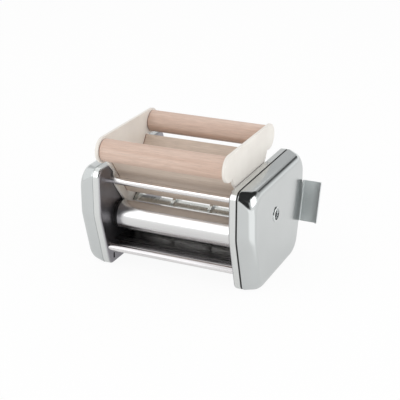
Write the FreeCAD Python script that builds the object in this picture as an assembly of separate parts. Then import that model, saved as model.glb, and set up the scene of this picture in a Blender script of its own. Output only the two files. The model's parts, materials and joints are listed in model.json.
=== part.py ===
import FreeCAD, Part
import math
import os

# Ravioli maker for a hand cranked pasta machine, in millimetres.
# X runs across the machine towards the crank side, Y to the rear and Z up.
# Pieces are laid out from the middle of the cases, Y = 0 half way between their
# front and rear walls. At the end all of them move together onto the origin.

# Side cases: a pressed side plate with a rim, a joint strip and a deep drawn cover
INSIDE_WIDTH = 150.0
CASE_DEPTH = 159.0
CASE_FOOT_DEPTH = 122.0
CASE_HEIGHT = 119.0
BEND_HEIGHT = 66.0
CORNER_RADIUS = 10.0
BEND_RADIUS = 30.0
PLATE_SHEET = 1.2
PLATE_RIM = 8.0
PLATE_EDGE_RADIUS = 2.5
COVER_SHEET = 1.0
COVER_EDGE_RADIUS = 7.0
CASE_WIDTH = 28.0
CRANK_SIDE_SEAM = 2.0
PLAIN_SIDE_SEAM = 0.6
STRIP_INSET = 0.5
STRIP_TONGUE = 2.0
STRIP_REACH = 1.5
KEY_SLOT_WIDTH = 3.0
KEY_SLOT_HEIGHT = 7.0
KEY_SLOT_Y = -52.5
KEY_SLOT_Z = 9.0

# Tie rods between the side plates, and the screws that hold them
ROD_RADIUS = 4.0
UPPER_ROD_Y = -55.6
UPPER_ROD_Z = 101.5
LOWER_ROD_Y = -60.3
LOWER_ROD_Z = 22.7
SCREW_RADIUS = 2.0
SCREW_LENGTH = 12.0
SCREW_HEAD_RADIUS = 4.2
SCREW_HEAD_HEIGHT = 2.4
SCREW_RECESS_RADIUS = 1.5
SCREW_RECESS_DEPTH = 1.4
SCREW_CLEARANCE = 0.05

# Rollers: a smooth one in front and the moulding roller behind it
FRONT_ROLLER_Y = -35.8
FRONT_ROLLER_Z = 54.4
ROLLER_RADIUS = 17.0
ROLLER_GAP = 0.5
NIP_TILT = 5.5
MOULD_FLOOR_RADIUS = 13.4
MOULD_CELLS_ACROSS = 3
MOULD_CELLS_AROUND = 2
MOULD_RIDGE_WIDTH = 3.6
MOULD_TOOTH_PITCH = 2.9
MOULD_TOOTH_DEPTH = 1.3
MOULD_FLOOR_FILLET = 1.6
SHAFT_RADIUS = 5.0
SHAFT_CLEARANCE = 0.05
SEAT_CLEARANCE = 0.02
SHAFT_CHAMFER = 0.6

# Plastic bushes in the side plates
BUSH_FLANGE_RADIUS = 16.0
BUSH_FLANGE = 4.2
BUSH_RADIUS = 7.4
BUSH_CLEARANCE = 0.05
BUSH_STANDOUT = 1.0

# Spur gears on the crank side
GEAR_MODULE = 1.5
ROLLER_TEETH = 24
PINION_TEETH = 12
PRESSURE_ANGLE = 25.0
TOOTH_ADDENDUM = 0.85
TOOTH_DEDENDUM = 1.1
TOOTH_BACKLASH = 0.24
GEAR_WIDTH = 7.0
GEAR_GAP = 0.5
GEAR_HUB_RADIUS = 9.0
GEAR_HUB_WIDTH = 2.5
CLIP_RADIUS = 7.2
CLIP_THICKNESS = 1.0
CLIP_GROOVE_DEPTH = 0.7
CLIP_MARGIN = 1.5

# Crank shaft: a stub behind the cover with an open socket for the crank
CRANK_ANGLE = 118.8
CRANK_STUB_RADIUS = 4.5
CRANK_BUSH_FLANGE_RADIUS = 8.6
CRANK_SOCKET_OUTER = 6.5
CRANK_SOCKET_BORE = 4.2
CRANK_SOCKET_DEPTH = 14.0
CRANK_END_INSET = 0.6
COLLAR_RADIUS = 8.4
COLLAR_BOSS_RADIUS = 7.4
COLLAR_FLANGE = 1.2
COLLAR_LENGTH = 3.6

# Lift-off hopper: two round rails, two sloping boards and two end panels
HOPPER_MIDDLE_Y = -17.0
RAIL_SPREAD = 112.6
RAIL_HEIGHT = 142.0
RAIL_RADIUS = 12.2
RAIL_EDGE_RADIUS = 0.8
PANEL_THICKNESS = 3.5
PANEL_SIDE_GAP = 0.5
PANEL_LIP = 2.3
PANEL_SEAT_GAP = 0.3
PANEL_ROD_GAP = 0.4
PANEL_SHOULDER_Z = 121.0
PANEL_WAIST_Z = 110.0
PANEL_TAPER_Z = 96.0
PANEL_FOOT_Z = 61.5
PANEL_FOOT_WIDTH = 14.0
PANEL_EDGE_RADIUS = 0.8
BOARD_SLOT = 8.0
BOARD_FOOT_Z = 80.5
BOARD_TOP_Z = 130.6
BOARD_TOP_HALF = 41.0
BOARD_THICKNESS = 5.0
BOARD_EDGE_RADIUS = 1.2

# Chute under the rollers, folded from sheet, and hooked over the lower front rod
CHUTE_SHEET = 1.0
CHUTE_SIDE_GAP = 0.2
CHUTE_BACK_Y = 24.0
CHUTE_BACK_Z = 46.0
CHUTE_BEND_Y = 10.0
CHUTE_SLOPE = 3.0
CHUTE_BEND_RADIUS = 6.0
CHUTE_ROD_GAP = 0.2
CHUTE_HOOK_ANGLE = 70.0
CHUTE_FLANGE = 6.0

# Slide brackets on the rear walls, which hang the ravioli maker on the pasta machine
BRACKET_SHEET = 1.5
BRACKET_FOOT_X = 76.0
BRACKET_RISER_X = 94.5
BRACKET_WIDTH = 23.0
BRACKET_STANDOFF = 21.0
BRACKET_LIP = 6.0
BRACKET_START = 33.0
BRACKET_LENGTH = 48.0
BRACKET_FOOT_LENGTH = 26.0
BRACKET_BEND = 1.0
RIVET_RADIUS = 1.6
RIVET_HEAD_RADIUS = 3.0
RIVET_HEAD_HEIGHT = 1.2
RIVET_TAIL_RADIUS = 1.9
RIVET_TAIL_HEIGHT = 1.0
RIVET_INSET = 7.0

# Places worked out from the sizes above
PLATE_X = INSIDE_WIDTH / 2
RIM_X = PLATE_X + PLATE_RIM
CASE_X = PLATE_X + CASE_WIDTH
PLATE_BACK_X = PLATE_X + PLATE_SHEET
RIVET_X = (PLATE_X + PLATE_EDGE_RADIUS + RIM_X - STRIP_REACH) / 2
CENTRE_DISTANCE = GEAR_MODULE * ROLLER_TEETH
CRANK_DISTANCE = GEAR_MODULE * (ROLLER_TEETH + PINION_TEETH) / 2
FRONT_AXIS = (FRONT_ROLLER_Y, FRONT_ROLLER_Z)
REAR_AXIS = (
    FRONT_ROLLER_Y + CENTRE_DISTANCE * math.cos(math.radians(NIP_TILT)),
    FRONT_ROLLER_Z - CENTRE_DISTANCE * math.sin(math.radians(NIP_TILT)),
)
CRANK_AXIS = (
    REAR_AXIS[0] + CRANK_DISTANCE * math.cos(math.radians(CRANK_ANGLE)),
    REAR_AXIS[1] + CRANK_DISTANCE * math.sin(math.radians(CRANK_ANGLE)),
)
BUSH_FACE_X = PLATE_X - BUSH_FLANGE
ROLLER_END_X = BUSH_FACE_X - ROLLER_GAP
BUSH_END_X = PLATE_BACK_X + BUSH_STANDOUT
GEAR_X = BUSH_END_X + GEAR_GAP
GEAR_END_X = GEAR_X + GEAR_WIDTH
PANEL_OUTER_X = PLATE_X - PANEL_SIDE_GAP
PANEL_INNER_X = PANEL_OUTER_X - PANEL_THICKNESS
RAIL_Y = (HOPPER_MIDDLE_Y - RAIL_SPREAD / 2, HOPPER_MIDDLE_Y + RAIL_SPREAD / 2)
REAR_UPPER_ROD_Y = 2 * HOPPER_MIDDLE_Y - UPPER_ROD_Y
ROD_AXES = (
    (UPPER_ROD_Y, UPPER_ROD_Z),
    (REAR_UPPER_ROD_Y, UPPER_ROD_Z),
    (LOWER_ROD_Y, LOWER_ROD_Z),
    (-LOWER_ROD_Y, LOWER_ROD_Z),
)
ROD_NAMES = ("upper_front_rod", "upper_rear_rod", "lower_front_rod", "lower_rear_rod")
WALL_LEAN = math.atan2((CASE_DEPTH - CASE_FOOT_DEPTH) / 2, BEND_HEIGHT)


def vector(x, y, z):
    return FreeCAD.Vector(x, y, z)


def across(x):
    """Puts a drawing of (y, z) points into the plane at this X."""
    return lambda y, z: vector(x, y, z)


def rounded_wire(points, radii, place):
    """Closed wire through flat corner points, each rounded by its own radius."""
    count = len(points)
    corners = []
    for i in range(count):
        corner = place(*points[i])
        before = place(*points[i - 1]) - corner
        after = place(*points[(i + 1) % count]) - corner
        half = before.getAngle(after) / 2
        before.normalize()
        after.normalize()
        reach = radii[i] / math.tan(half)
        bisector = before + after
        bisector.normalize()
        middle = corner + bisector * (radii[i] / math.sin(half) - radii[i])
        corners.append((corner + before * reach, middle, corner + after * reach))
    edges = []
    for i in range(count):
        start, middle, end = corners[i]
        if radii[i] > 0:
            edges.append(Part.Arc(start, middle, end).toShape())
        following = corners[(i + 1) % count][0]
        if (following - end).Length > 1e-6:
            edges.append(Part.makeLine(end, following))
    return Part.Wire(edges)


def prism(points, radii, x0, x1):
    """Solid with a flat (y, z) outline, from X = x0 to X = x1."""
    face = Part.Face(rounded_wire(points, radii, across(x0)))
    return face.extrude(vector(x1 - x0, 0, 0))


def round_bar(axis, radius, x0, x1):
    """Cylinder along X about a (y, z) axis."""
    return Part.makeCylinder(radius, x1 - x0, vector(x0, *axis), vector(1, 0, 0))


def edges_at(shape, x):
    """Edges that lie in the plane at this X."""
    found = []
    for edge in shape.Edges:
        if abs(edge.BoundBox.XMin - x) < 0.01 and abs(edge.BoundBox.XMax - x) < 0.01:
            found.append(edge)
    return found


def mirrored(shape):
    return shape.mirror(vector(0, 0, 0), vector(1, 0, 0))


def case_prism(inset, x0, x1):
    """The outline of a case, drawn in by an inset, as a solid."""
    half = CASE_DEPTH / 2
    foot = CASE_FOOT_DEPTH / 2
    points = [(-foot, 0), (foot, 0), (half, BEND_HEIGHT), (half, CASE_HEIGHT)]
    points += [(-half, CASE_HEIGHT), (-half, BEND_HEIGHT)]
    radii = [CORNER_RADIUS, CORNER_RADIUS, BEND_RADIUS, CORNER_RADIUS, CORNER_RADIUS, BEND_RADIUS]
    moved = []
    count = len(points)
    for i in range(count):
        here = vector(0, *points[i])
        first = here - vector(0, *points[i - 1])
        second = vector(0, *points[(i + 1) % count]) - here
        first.normalize()
        second.normalize()
        inward_first = vector(0, -first.z, first.y)
        inward_second = vector(0, -second.z, second.y)
        share = inset / (1 + inward_first.dot(inward_second))
        corner = here + (inward_first + inward_second) * share
        moved.append((corner.y, corner.z))
    return prism(moved, [radius - inset for radius in radii], x0, x1)


def side_plate(crank_side):
    """Pressed tray: flat plate, rim turned outwards, holes for rods, bushes and rivets."""
    tray = case_prism(0, PLATE_X, RIM_X)
    tray = tray.makeFillet(PLATE_EDGE_RADIUS, edges_at(tray, PLATE_X))
    hollow = case_prism(PLATE_SHEET, PLATE_BACK_X, RIM_X + 1)
    hollow = hollow.makeFillet(PLATE_EDGE_RADIUS - PLATE_SHEET, edges_at(hollow, PLATE_BACK_X))
    holes = [rivet_shanks(RIVET_RADIUS + SCREW_CLEARANCE)]
    for axis in ROD_AXES:
        holes.append(round_bar(axis, SCREW_RADIUS + SCREW_CLEARANCE, PLATE_X - 1, RIM_X))
    for axis in (FRONT_AXIS, REAR_AXIS):
        holes.append(round_bar(axis, BUSH_RADIUS + BUSH_CLEARANCE, PLATE_X - 1, RIM_X))
    if crank_side:
        holes.append(round_bar(CRANK_AXIS, BUSH_RADIUS + BUSH_CLEARANCE, PLATE_X - 1, RIM_X))
    slot_round = KEY_SLOT_WIDTH / 2
    y0 = KEY_SLOT_Y - KEY_SLOT_WIDTH / 2
    z0 = KEY_SLOT_Z - KEY_SLOT_HEIGHT / 2
    slot = [(y0, z0), (y0 + KEY_SLOT_WIDTH, z0)]
    slot += [(y0 + KEY_SLOT_WIDTH, z0 + KEY_SLOT_HEIGHT), (y0, z0 + KEY_SLOT_HEIGHT)]
    holes.append(prism(slot, [slot_round] * 4, PLATE_X - 1, RIM_X))
    return tray.cut([hollow] + holes)


def joint_strip(seam):
    """Black strip between rim and cover, with a tongue that locates both."""
    band = case_prism(STRIP_INSET, RIM_X, RIM_X + seam)
    inner = PLATE_SHEET + SEAT_CLEARANCE
    tongue = case_prism(inner, RIM_X - STRIP_REACH, RIM_X + seam + STRIP_REACH)
    hollow = case_prism(inner + STRIP_TONGUE, RIM_X - PLATE_RIM, CASE_X)
    return band.fuse(tongue).cut(hollow).removeSplitter()


def cover(seam, crank_side):
    """Deep drawn cover, open towards the side plate, with a rounded outer edge."""
    start = RIM_X + seam
    outer = case_prism(0, start, CASE_X)
    outer = outer.makeFillet(COVER_EDGE_RADIUS, edges_at(outer, CASE_X))
    hollow = case_prism(COVER_SHEET, start - 1, CASE_X - COVER_SHEET)
    hollow = hollow.makeFillet(
        COVER_EDGE_RADIUS - COVER_SHEET, edges_at(hollow, CASE_X - COVER_SHEET)
    )
    shell = outer.cut(hollow)
    if crank_side:
        boss_hole = COLLAR_BOSS_RADIUS + SEAT_CLEARANCE
        shell = shell.cut(round_bar(CRANK_AXIS, boss_hole, CASE_X - 2 * COVER_SHEET, CASE_X + 1))
    return shell


def tie_rod(axis):
    """Round rod between the plates, tapped at both ends for its screws."""
    rod = round_bar(axis, ROD_RADIUS, -PLATE_X, PLATE_X)
    depth = SCREW_LENGTH - PLATE_SHEET + 1
    for x0 in (-PLATE_X, PLATE_X - depth):
        rod = rod.cut(round_bar(axis, SCREW_RADIUS + SEAT_CLEARANCE, x0, x0 + depth))
    return rod


def rod_screws():
    """The four screws of one side plate."""
    screws = []
    for axis in ROD_AXES:
        shank = round_bar(axis, SCREW_RADIUS, PLATE_BACK_X - SCREW_LENGTH, PLATE_BACK_X)
        head_end = PLATE_BACK_X + SCREW_HEAD_HEIGHT
        head = round_bar(axis, SCREW_HEAD_RADIUS, PLATE_BACK_X, head_end)
        head = head.makeFillet(SCREW_HEAD_HEIGHT / 2, edges_at(head, head_end))
        recess = round_bar(axis, SCREW_RECESS_RADIUS, head_end - SCREW_RECESS_DEPTH, head_end + 1)
        screws.append(shank.fuse(head).cut(recess))
    return Part.makeCompound(screws)


def bush(axis):
    """Flanged plastic bush: the flange stands inside the plate, beside the roller."""
    flange = round_bar(axis, BUSH_FLANGE_RADIUS, BUSH_FACE_X, PLATE_X)
    flange = flange.makeChamfer(SHAFT_CHAMFER, edges_at(flange, BUSH_FACE_X))
    sleeve = round_bar(axis, BUSH_RADIUS, PLATE_X, BUSH_END_X)
    bore = round_bar(axis, SHAFT_RADIUS + SHAFT_CLEARANCE, BUSH_FACE_X - 1, BUSH_END_X + 1)
    return flange.fuse(sleeve).cut(bore)


def smooth_roller():
    """Plain polished roller with a bore for its shaft."""
    roller = round_bar(FRONT_AXIS, ROLLER_RADIUS, -ROLLER_END_X, ROLLER_END_X)
    ends = edges_at(roller, -ROLLER_END_X) + edges_at(roller, ROLLER_END_X)
    roller = roller.makeFillet(SHAFT_CHAMFER, ends)
    bore_radius = SHAFT_RADIUS + SEAT_CLEARANCE
    return roller.cut(round_bar(FRONT_AXIS, bore_radius, -PLATE_X, PLATE_X))


def toothed_ring(x):
    """Round ridge of the moulding roller, with teeth that crimp the dough."""
    count = round(2 * math.pi * ROLLER_RADIUS / MOULD_TOOTH_PITCH)
    points = []
    for i in range(2 * count):
        angle = math.pi * i / count
        radius = ROLLER_RADIUS - MOULD_TOOTH_DEPTH * (i % 2)
        y = REAR_AXIS[0] + radius * math.cos(angle)
        z = REAR_AXIS[1] + radius * math.sin(angle)
        points.append(vector(x - MOULD_RIDGE_WIDTH / 2, y, z))
    wire = Part.makePolygon(points + [points[0]])
    return Part.Face(wire).extrude(vector(MOULD_RIDGE_WIDTH, 0, 0))


def toothed_bar(turn):
    """Straight ridge along the moulding roller, toothed like the rings."""
    length = 2 * ROLLER_END_X
    count = round(length / MOULD_TOOTH_PITCH)
    pitch = length / count
    inner = SHAFT_RADIUS + 1
    tip = math.sqrt(ROLLER_RADIUS ** 2 - (MOULD_RIDGE_WIDTH / 2) ** 2)
    side = -MOULD_RIDGE_WIDTH / 2
    points = [vector(ROLLER_END_X, side, inner), vector(-ROLLER_END_X, side, inner)]
    for i in range(2 * count + 1):
        height = tip - MOULD_TOOTH_DEPTH * (1 - i % 2)
        points.append(vector(-ROLLER_END_X + pitch * i / 2, side, height))
    wire = Part.makePolygon(points + [points[0]])
    bar = Part.Face(wire).extrude(vector(0, MOULD_RIDGE_WIDTH, 0))
    bar.rotate(vector(0, 0, 0), vector(1, 0, 0), turn)
    bar.translate(vector(0, *REAR_AXIS))
    return bar


def moulding_roller():
    """Roller with ravioli pockets: a core, toothed rings round it and toothed bars along it."""
    core = round_bar(REAR_AXIS, MOULD_FLOOR_RADIUS, -ROLLER_END_X, ROLLER_END_X)
    first = -ROLLER_END_X + MOULD_RIDGE_WIDTH / 2
    step = -2 * first / MOULD_CELLS_ACROSS
    ridges = []
    for i in range(MOULD_CELLS_ACROSS + 1):
        x = first + step * i
        ridges.append(toothed_ring(x))
        for side in (-1, 1):
            ridges.append(floor_cove(x, side))
    for i in range(MOULD_CELLS_AROUND):
        ridges.append(toothed_bar(90 + 360 * i / MOULD_CELLS_AROUND))
    roller = core.fuse(ridges)
    limit = round_bar(REAR_AXIS, ROLLER_RADIUS + 1, -ROLLER_END_X, ROLLER_END_X)
    bore_radius = SHAFT_RADIUS + SEAT_CLEARANCE
    roller = roller.common(limit)
    return roller.cut(round_bar(REAR_AXIS, bore_radius, -PLATE_X, PLATE_X))


def floor_cove(x, side):
    """Sloped foot of a ring, so that each pocket has a dished edge."""
    root = x + side * (MOULD_RIDGE_WIDTH / 2 - SEAT_CLEARANCE)
    toe = root + side * MOULD_FLOOR_FILLET
    inner = MOULD_FLOOR_RADIUS - 1
    top = MOULD_FLOOR_RADIUS + MOULD_FLOOR_FILLET
    points = [vector(root, inner, 0), vector(toe, inner, 0)]
    points += [vector(toe, MOULD_FLOOR_RADIUS, 0), vector(root, top, 0)]
    face = Part.Face(Part.makePolygon(points + [points[0]]))
    cove = face.revolve(vector(0, 0, 0), vector(1, 0, 0), 360)
    cove.translate(vector(0, *REAR_AXIS))
    return cove


def clip_places():
    """X of the inner face of the clip at each end of a roller shaft."""
    return (-BUSH_END_X - GEAR_GAP - CLIP_THICKNESS, GEAR_END_X + GEAR_HUB_WIDTH)


def roller_shaft(axis):
    """Steel shaft through roller, bushes and gear, grooved for its clips."""
    left, right = clip_places()
    start = left - CLIP_MARGIN
    end = right + CLIP_THICKNESS + CLIP_MARGIN
    shaft = round_bar(axis, SHAFT_RADIUS, start, end)
    shaft = shaft.makeChamfer(SHAFT_CHAMFER, edges_at(shaft, start) + edges_at(shaft, end))
    for x in (left, right):
        groove = round_bar(axis, SHAFT_RADIUS + 1, x, x + CLIP_THICKNESS)
        floor = round_bar(axis, SHAFT_RADIUS - CLIP_GROOVE_DEPTH, x, x + CLIP_THICKNESS)
        shaft = shaft.cut(groove.cut(floor))
    return shaft


def shaft_clips(axis):
    """Spring clips in the grooves of a roller shaft, each open on one side."""
    clips = []
    for x in clip_places():
        ring = round_bar(axis, CLIP_RADIUS, x, x + CLIP_THICKNESS)
        inner = SHAFT_RADIUS - CLIP_GROOVE_DEPTH + SEAT_CLEARANCE
        ring = ring.cut(round_bar(axis, inner, x - 1, x + 2))
        opening = Part.makeBox(4, 2 * inner * 0.8, CLIP_RADIUS + 1)
        opening.translate(vector(x - 1, axis[0] - inner * 0.8, axis[1] - CLIP_RADIUS - 1))
        clips.append(ring.cut(opening))
    return Part.makeCompound(clips)


def involute(angle):
    return math.tan(angle) - angle


def spur_gear(teeth, axis, phase, bore, hub):
    """Spur gear on the crank side, with a hub on its outer face if asked."""
    pressure = math.radians(PRESSURE_ANGLE)
    pitch_radius = GEAR_MODULE * teeth / 2
    base_radius = pitch_radius * math.cos(pressure)
    tip_radius = pitch_radius + GEAR_MODULE * TOOTH_ADDENDUM
    root_radius = pitch_radius - GEAR_MODULE * TOOTH_DEDENDUM
    half_pitch = math.pi / (2 * teeth) - TOOTH_BACKLASH / (2 * pitch_radius)
    start_radius = max(base_radius, root_radius)
    flank = []
    steps = 4
    for i in range(steps + 1):
        radius = start_radius + (tip_radius - start_radius) * i / steps
        roll = math.acos(min(1, base_radius / radius))
        flank.append((radius, half_pitch + involute(pressure) - involute(roll)))
    if root_radius < start_radius:
        flank.insert(0, (root_radius, flank[0][1]))
    points = []
    for i in range(teeth):
        middle = phase + 2 * math.pi * i / teeth
        tooth = [(radius, middle - half) for radius, half in flank]
        tooth += [(radius, middle + half) for radius, half in reversed(flank)]
        for radius, angle in tooth:
            y = axis[0] + radius * math.cos(angle)
            z = axis[1] + radius * math.sin(angle)
            points.append(vector(GEAR_X, y, z))
    gear = Part.Face(Part.makePolygon(points + [points[0]])).extrude(vector(GEAR_WIDTH, 0, 0))
    if hub:
        gear = gear.fuse(round_bar(axis, GEAR_HUB_RADIUS, GEAR_END_X, GEAR_END_X + GEAR_HUB_WIDTH))
    return gear.cut(round_bar(axis, bore + SEAT_CLEARANCE, GEAR_X - 1, CASE_X))


def gear_phases():
    """Turns of the three gears that put each tooth in the middle of its gap."""
    to_front = math.radians(180 - NIP_TILT)
    rear = to_front
    front = to_front + math.pi + math.pi / ROLLER_TEETH
    to_crank = math.radians(CRANK_ANGLE)
    tooth = 2 * math.pi / ROLLER_TEETH
    lead = (rear - to_crank) % tooth
    pinion = to_crank + math.pi - lead * ROLLER_TEETH / PINION_TEETH + math.pi / PINION_TEETH
    return front, rear, pinion


def crank_shaft():
    """Stub that carries the pinion, and the open socket that the crank goes into."""
    step_x = GEAR_END_X + GEAR_GAP
    end_x = CASE_X - CRANK_END_INSET
    stub = round_bar(CRANK_AXIS, CRANK_STUB_RADIUS, PLATE_X, step_x)
    socket = round_bar(CRANK_AXIS, CRANK_SOCKET_OUTER, step_x, end_x)
    socket = socket.makeChamfer(SHAFT_CHAMFER, edges_at(socket, end_x))
    bore = round_bar(CRANK_AXIS, CRANK_SOCKET_BORE, end_x - CRANK_SOCKET_DEPTH, end_x + 1)
    return stub.fuse(socket).cut(bore)


def crank_bush():
    """Bush of the stub in the side plate, its flange inside the case."""
    sleeve = round_bar(CRANK_AXIS, BUSH_RADIUS, PLATE_X, PLATE_BACK_X)
    flange = round_bar(CRANK_AXIS, CRANK_BUSH_FLANGE_RADIUS, PLATE_BACK_X, BUSH_END_X)
    bore_radius = CRANK_STUB_RADIUS + SHAFT_CLEARANCE
    return sleeve.fuse(flange).cut(round_bar(CRANK_AXIS, bore_radius, PLATE_X - 1, CASE_X))


def crank_collar():
    """Plain round collar in the cover, which the socket turns in."""
    end = CASE_X + COLLAR_FLANGE
    flange = round_bar(CRANK_AXIS, COLLAR_RADIUS, CASE_X, end)
    flange = flange.makeFillet(COLLAR_FLANGE * 0.7, edges_at(flange, end))
    boss = round_bar(CRANK_AXIS, COLLAR_BOSS_RADIUS, CASE_X + COLLAR_FLANGE - COLLAR_LENGTH, CASE_X)
    bore_radius = CRANK_SOCKET_OUTER + SHAFT_CLEARANCE
    collar = flange.fuse(boss)
    return collar.cut(round_bar(CRANK_AXIS, bore_radius, CASE_X - COLLAR_LENGTH - 1, end + 1))


def hopper_rail(y):
    """Round beech rail between the end panels."""
    rail = round_bar((y, RAIL_HEIGHT), RAIL_RADIUS, -PANEL_INNER_X, PANEL_INNER_X)
    ends = edges_at(rail, -PANEL_INNER_X) + edges_at(rail, PANEL_INNER_X)
    return rail.makeFillet(RAIL_EDGE_RADIUS, ends)


def hopper_board(side):
    """Sloping board: it leads the dough from a rail down to the slot over the rollers."""
    slope = math.atan2(BOARD_TOP_HALF - BOARD_SLOT / 2, BOARD_TOP_Z - BOARD_FOOT_Z)
    out = vector(0, side * math.cos(slope), -math.sin(slope)) * BOARD_THICKNESS
    foot = vector(0, HOPPER_MIDDLE_Y + side * BOARD_SLOT / 2, BOARD_FOOT_Z)
    top = vector(0, HOPPER_MIDDLE_Y + side * BOARD_TOP_HALF, BOARD_TOP_Z)
    points = []
    for corner in (foot, top, top + out, foot + out):
        points.append((corner.y, corner.z))
    return prism(points, [BOARD_EDGE_RADIUS] * 4, -PANEL_INNER_X, PANEL_INNER_X)


def hopper_panel():
    """End panel: lobes round the rails, narrow between the rods, and saddles on the bushes."""
    top = RAIL_HEIGHT + RAIL_RADIUS + PANEL_LIP
    waist = (REAR_UPPER_ROD_Y - UPPER_ROD_Y) / 2 - ROD_RADIUS - PANEL_ROD_GAP
    shoulder = (RAIL_SPREAD / 2 + waist) / 2
    right = [
        (PANEL_FOOT_WIDTH / 2, PANEL_FOOT_Z),
        (waist, PANEL_TAPER_Z),
        (waist, PANEL_WAIST_Z),
        (shoulder, PANEL_SHOULDER_Z),
        (RAIL_SPREAD / 2, RAIL_HEIGHT),
        (RAIL_SPREAD / 2, top),
    ]
    outline = [(HOPPER_MIDDLE_Y + y, z) for y, z in right]
    outline += [(HOPPER_MIDDLE_Y - y, z) for y, z in reversed(right)]
    panel = prism(outline, [0] * len(outline), PANEL_INNER_X, PANEL_OUTER_X)
    for y in RAIL_Y:
        lobe = round_bar((y, RAIL_HEIGHT), RAIL_RADIUS + PANEL_LIP, PANEL_INNER_X, PANEL_OUTER_X)
        panel = panel.fuse(lobe)
    panel = panel.removeSplitter()
    for axis in (FRONT_AXIS, REAR_AXIS):
        saddle = BUSH_FLANGE_RADIUS + PANEL_SEAT_GAP
        panel = panel.cut(round_bar(axis, saddle, PANEL_INNER_X - 1, PLATE_X))
    return panel.makeFillet(PANEL_EDGE_RADIUS, edges_at(panel, PANEL_OUTER_X))


def sheet_wire(points, radii, thickness, place):
    """Closed outline of a bent sheet: a line of points, and its copy on the left hand side."""
    headings = []
    for i in range(len(points) - 1):
        heading = vector(points[i + 1][0] - points[i][0], points[i + 1][1] - points[i][1], 0)
        heading.normalize()
        headings.append(heading)
    lefts = [vector(-heading.y, heading.x, 0) for heading in headings]
    other_side = []
    other_radii = [0]
    for i in range(len(points)):
        first = lefts[max(i - 1, 0)]
        second = lefts[min(i, len(lefts) - 1)]
        move = (first + second) * (thickness / (1 + first.dot(second)))
        other_side.append((points[i][0] + move.x, points[i][1] + move.y))
        if 0 < i < len(points) - 1:
            left_turn = headings[i - 1].cross(headings[i]).z > 0
            other_radii.append(radii[i - 1] + (-thickness if left_turn else thickness))
    other_radii.append(0)
    outline = list(points) + other_side[::-1]
    return rounded_wire(outline, [0] + list(radii) + [0] + other_radii[::-1], place)


def chute():
    """Polished sheet under the rollers, with side flanges, that hooks over the lower rod."""
    hook_radius = ROD_RADIUS + CHUTE_ROD_GAP + CHUTE_SHEET
    slope = math.radians(CHUTE_SLOPE)
    turned = math.radians(CHUTE_SLOPE + CHUTE_HOOK_ANGLE)
    up_run = vector(0, -math.sin(slope), math.cos(slope))
    up_hook = vector(0, -math.sin(turned), math.cos(turned))
    share = hook_radius / (1 + up_run.dot(up_hook))
    corner = vector(0, LOWER_ROD_Y, LOWER_ROD_Z) + (up_run + up_hook) * share
    hook_length = hook_radius * math.tan(math.radians(CHUTE_HOOK_ANGLE) / 2) + CHUTE_SHEET
    bend_z = corner.z + (CHUTE_BEND_Y - corner.y) * math.tan(slope)
    points = [
        (CHUTE_BACK_Y, CHUTE_BACK_Z),
        (CHUTE_BEND_Y, bend_z),
        (corner.y, corner.z),
        (corner.y - hook_length * math.cos(turned), corner.z - hook_length * math.sin(turned)),
    ]
    half = PLATE_X - CHUTE_SIDE_GAP
    wire = sheet_wire(points, [CHUTE_BEND_RADIUS, hook_radius], CHUTE_SHEET, across(-half))
    sheet = Part.Face(wire).extrude(vector(2 * half, 0, 0))
    front = LOWER_ROD_Y + ROD_RADIUS + CHUTE_SHEET
    back = CHUTE_BEND_Y - CHUTE_BEND_RADIUS
    side = []
    for y, depth in ((front, CHUTE_SHEET), (back, CHUTE_SHEET), (back, CHUTE_FLANGE), (front, CHUTE_FLANGE)):
        top_z = corner.z + (y - corner.y) * math.tan(slope)
        side.append((y, top_z - depth + CHUTE_SHEET / 2))
    flange = prism(side, [0] * 4, half - CHUTE_SHEET, half)
    return sheet.fuse([flange, mirrored(flange)]).removeSplitter()


def wall_place(s):
    """Puts (x, n) points on the leaning rear wall: s along it upwards, n out from it."""
    y = CASE_FOOT_DEPTH / 2 + s * math.sin(WALL_LEAN)
    z = s * math.cos(WALL_LEAN)
    return lambda x, n: vector(x, y + n * math.cos(WALL_LEAN), z - n * math.sin(WALL_LEAN))


def wall_direction():
    return vector(0, math.sin(WALL_LEAN), math.cos(WALL_LEAN))


def wall_normal():
    return vector(0, math.cos(WALL_LEAN), -math.sin(WALL_LEAN))


def rivet_starts():
    """Points on the outer face of the wall where the rivets of a bracket sit."""
    first = BRACKET_START + RIVET_INSET
    last = BRACKET_START + BRACKET_FOOT_LENGTH - RIVET_INSET
    return [wall_place(s)(RIVET_X, 0) for s in (first, last)]


def rivet_shanks(radius):
    """Rivet shanks, or their holes, through the wall and the foot of a bracket."""
    shanks = []
    for start in rivet_starts():
        inner = start - wall_normal() * PLATE_SHEET
        length = PLATE_SHEET + BRACKET_SHEET
        shanks.append(Part.makeCylinder(radius, length, inner, wall_normal()))
    return Part.makeCompound(shanks)


def rivets():
    """Domed rivets that hold a slide bracket to the rear wall."""
    made = []
    shanks = rivet_shanks(RIVET_RADIUS).Solids
    for start, shank in zip(rivet_starts(), shanks):
        seat = start + wall_normal() * BRACKET_SHEET
        head = Part.makeCylinder(RIVET_HEAD_RADIUS, RIVET_HEAD_HEIGHT, seat, wall_normal())
        top = seat + wall_normal() * RIVET_HEAD_HEIGHT
        rims = [edge for edge in head.Edges if edge.Closed and edge.CenterOfMass.distanceToPoint(top) < 0.01]
        head = head.makeFillet(RIVET_HEAD_HEIGHT * 0.8, rims)
        tail_start = start - wall_normal() * (PLATE_SHEET + RIVET_TAIL_HEIGHT)
        tail = Part.makeCylinder(RIVET_TAIL_RADIUS, RIVET_TAIL_HEIGHT, tail_start, wall_normal())
        made.append(shank.fuse([head, tail]).removeSplitter())
    return Part.makeCompound(made)


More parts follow.
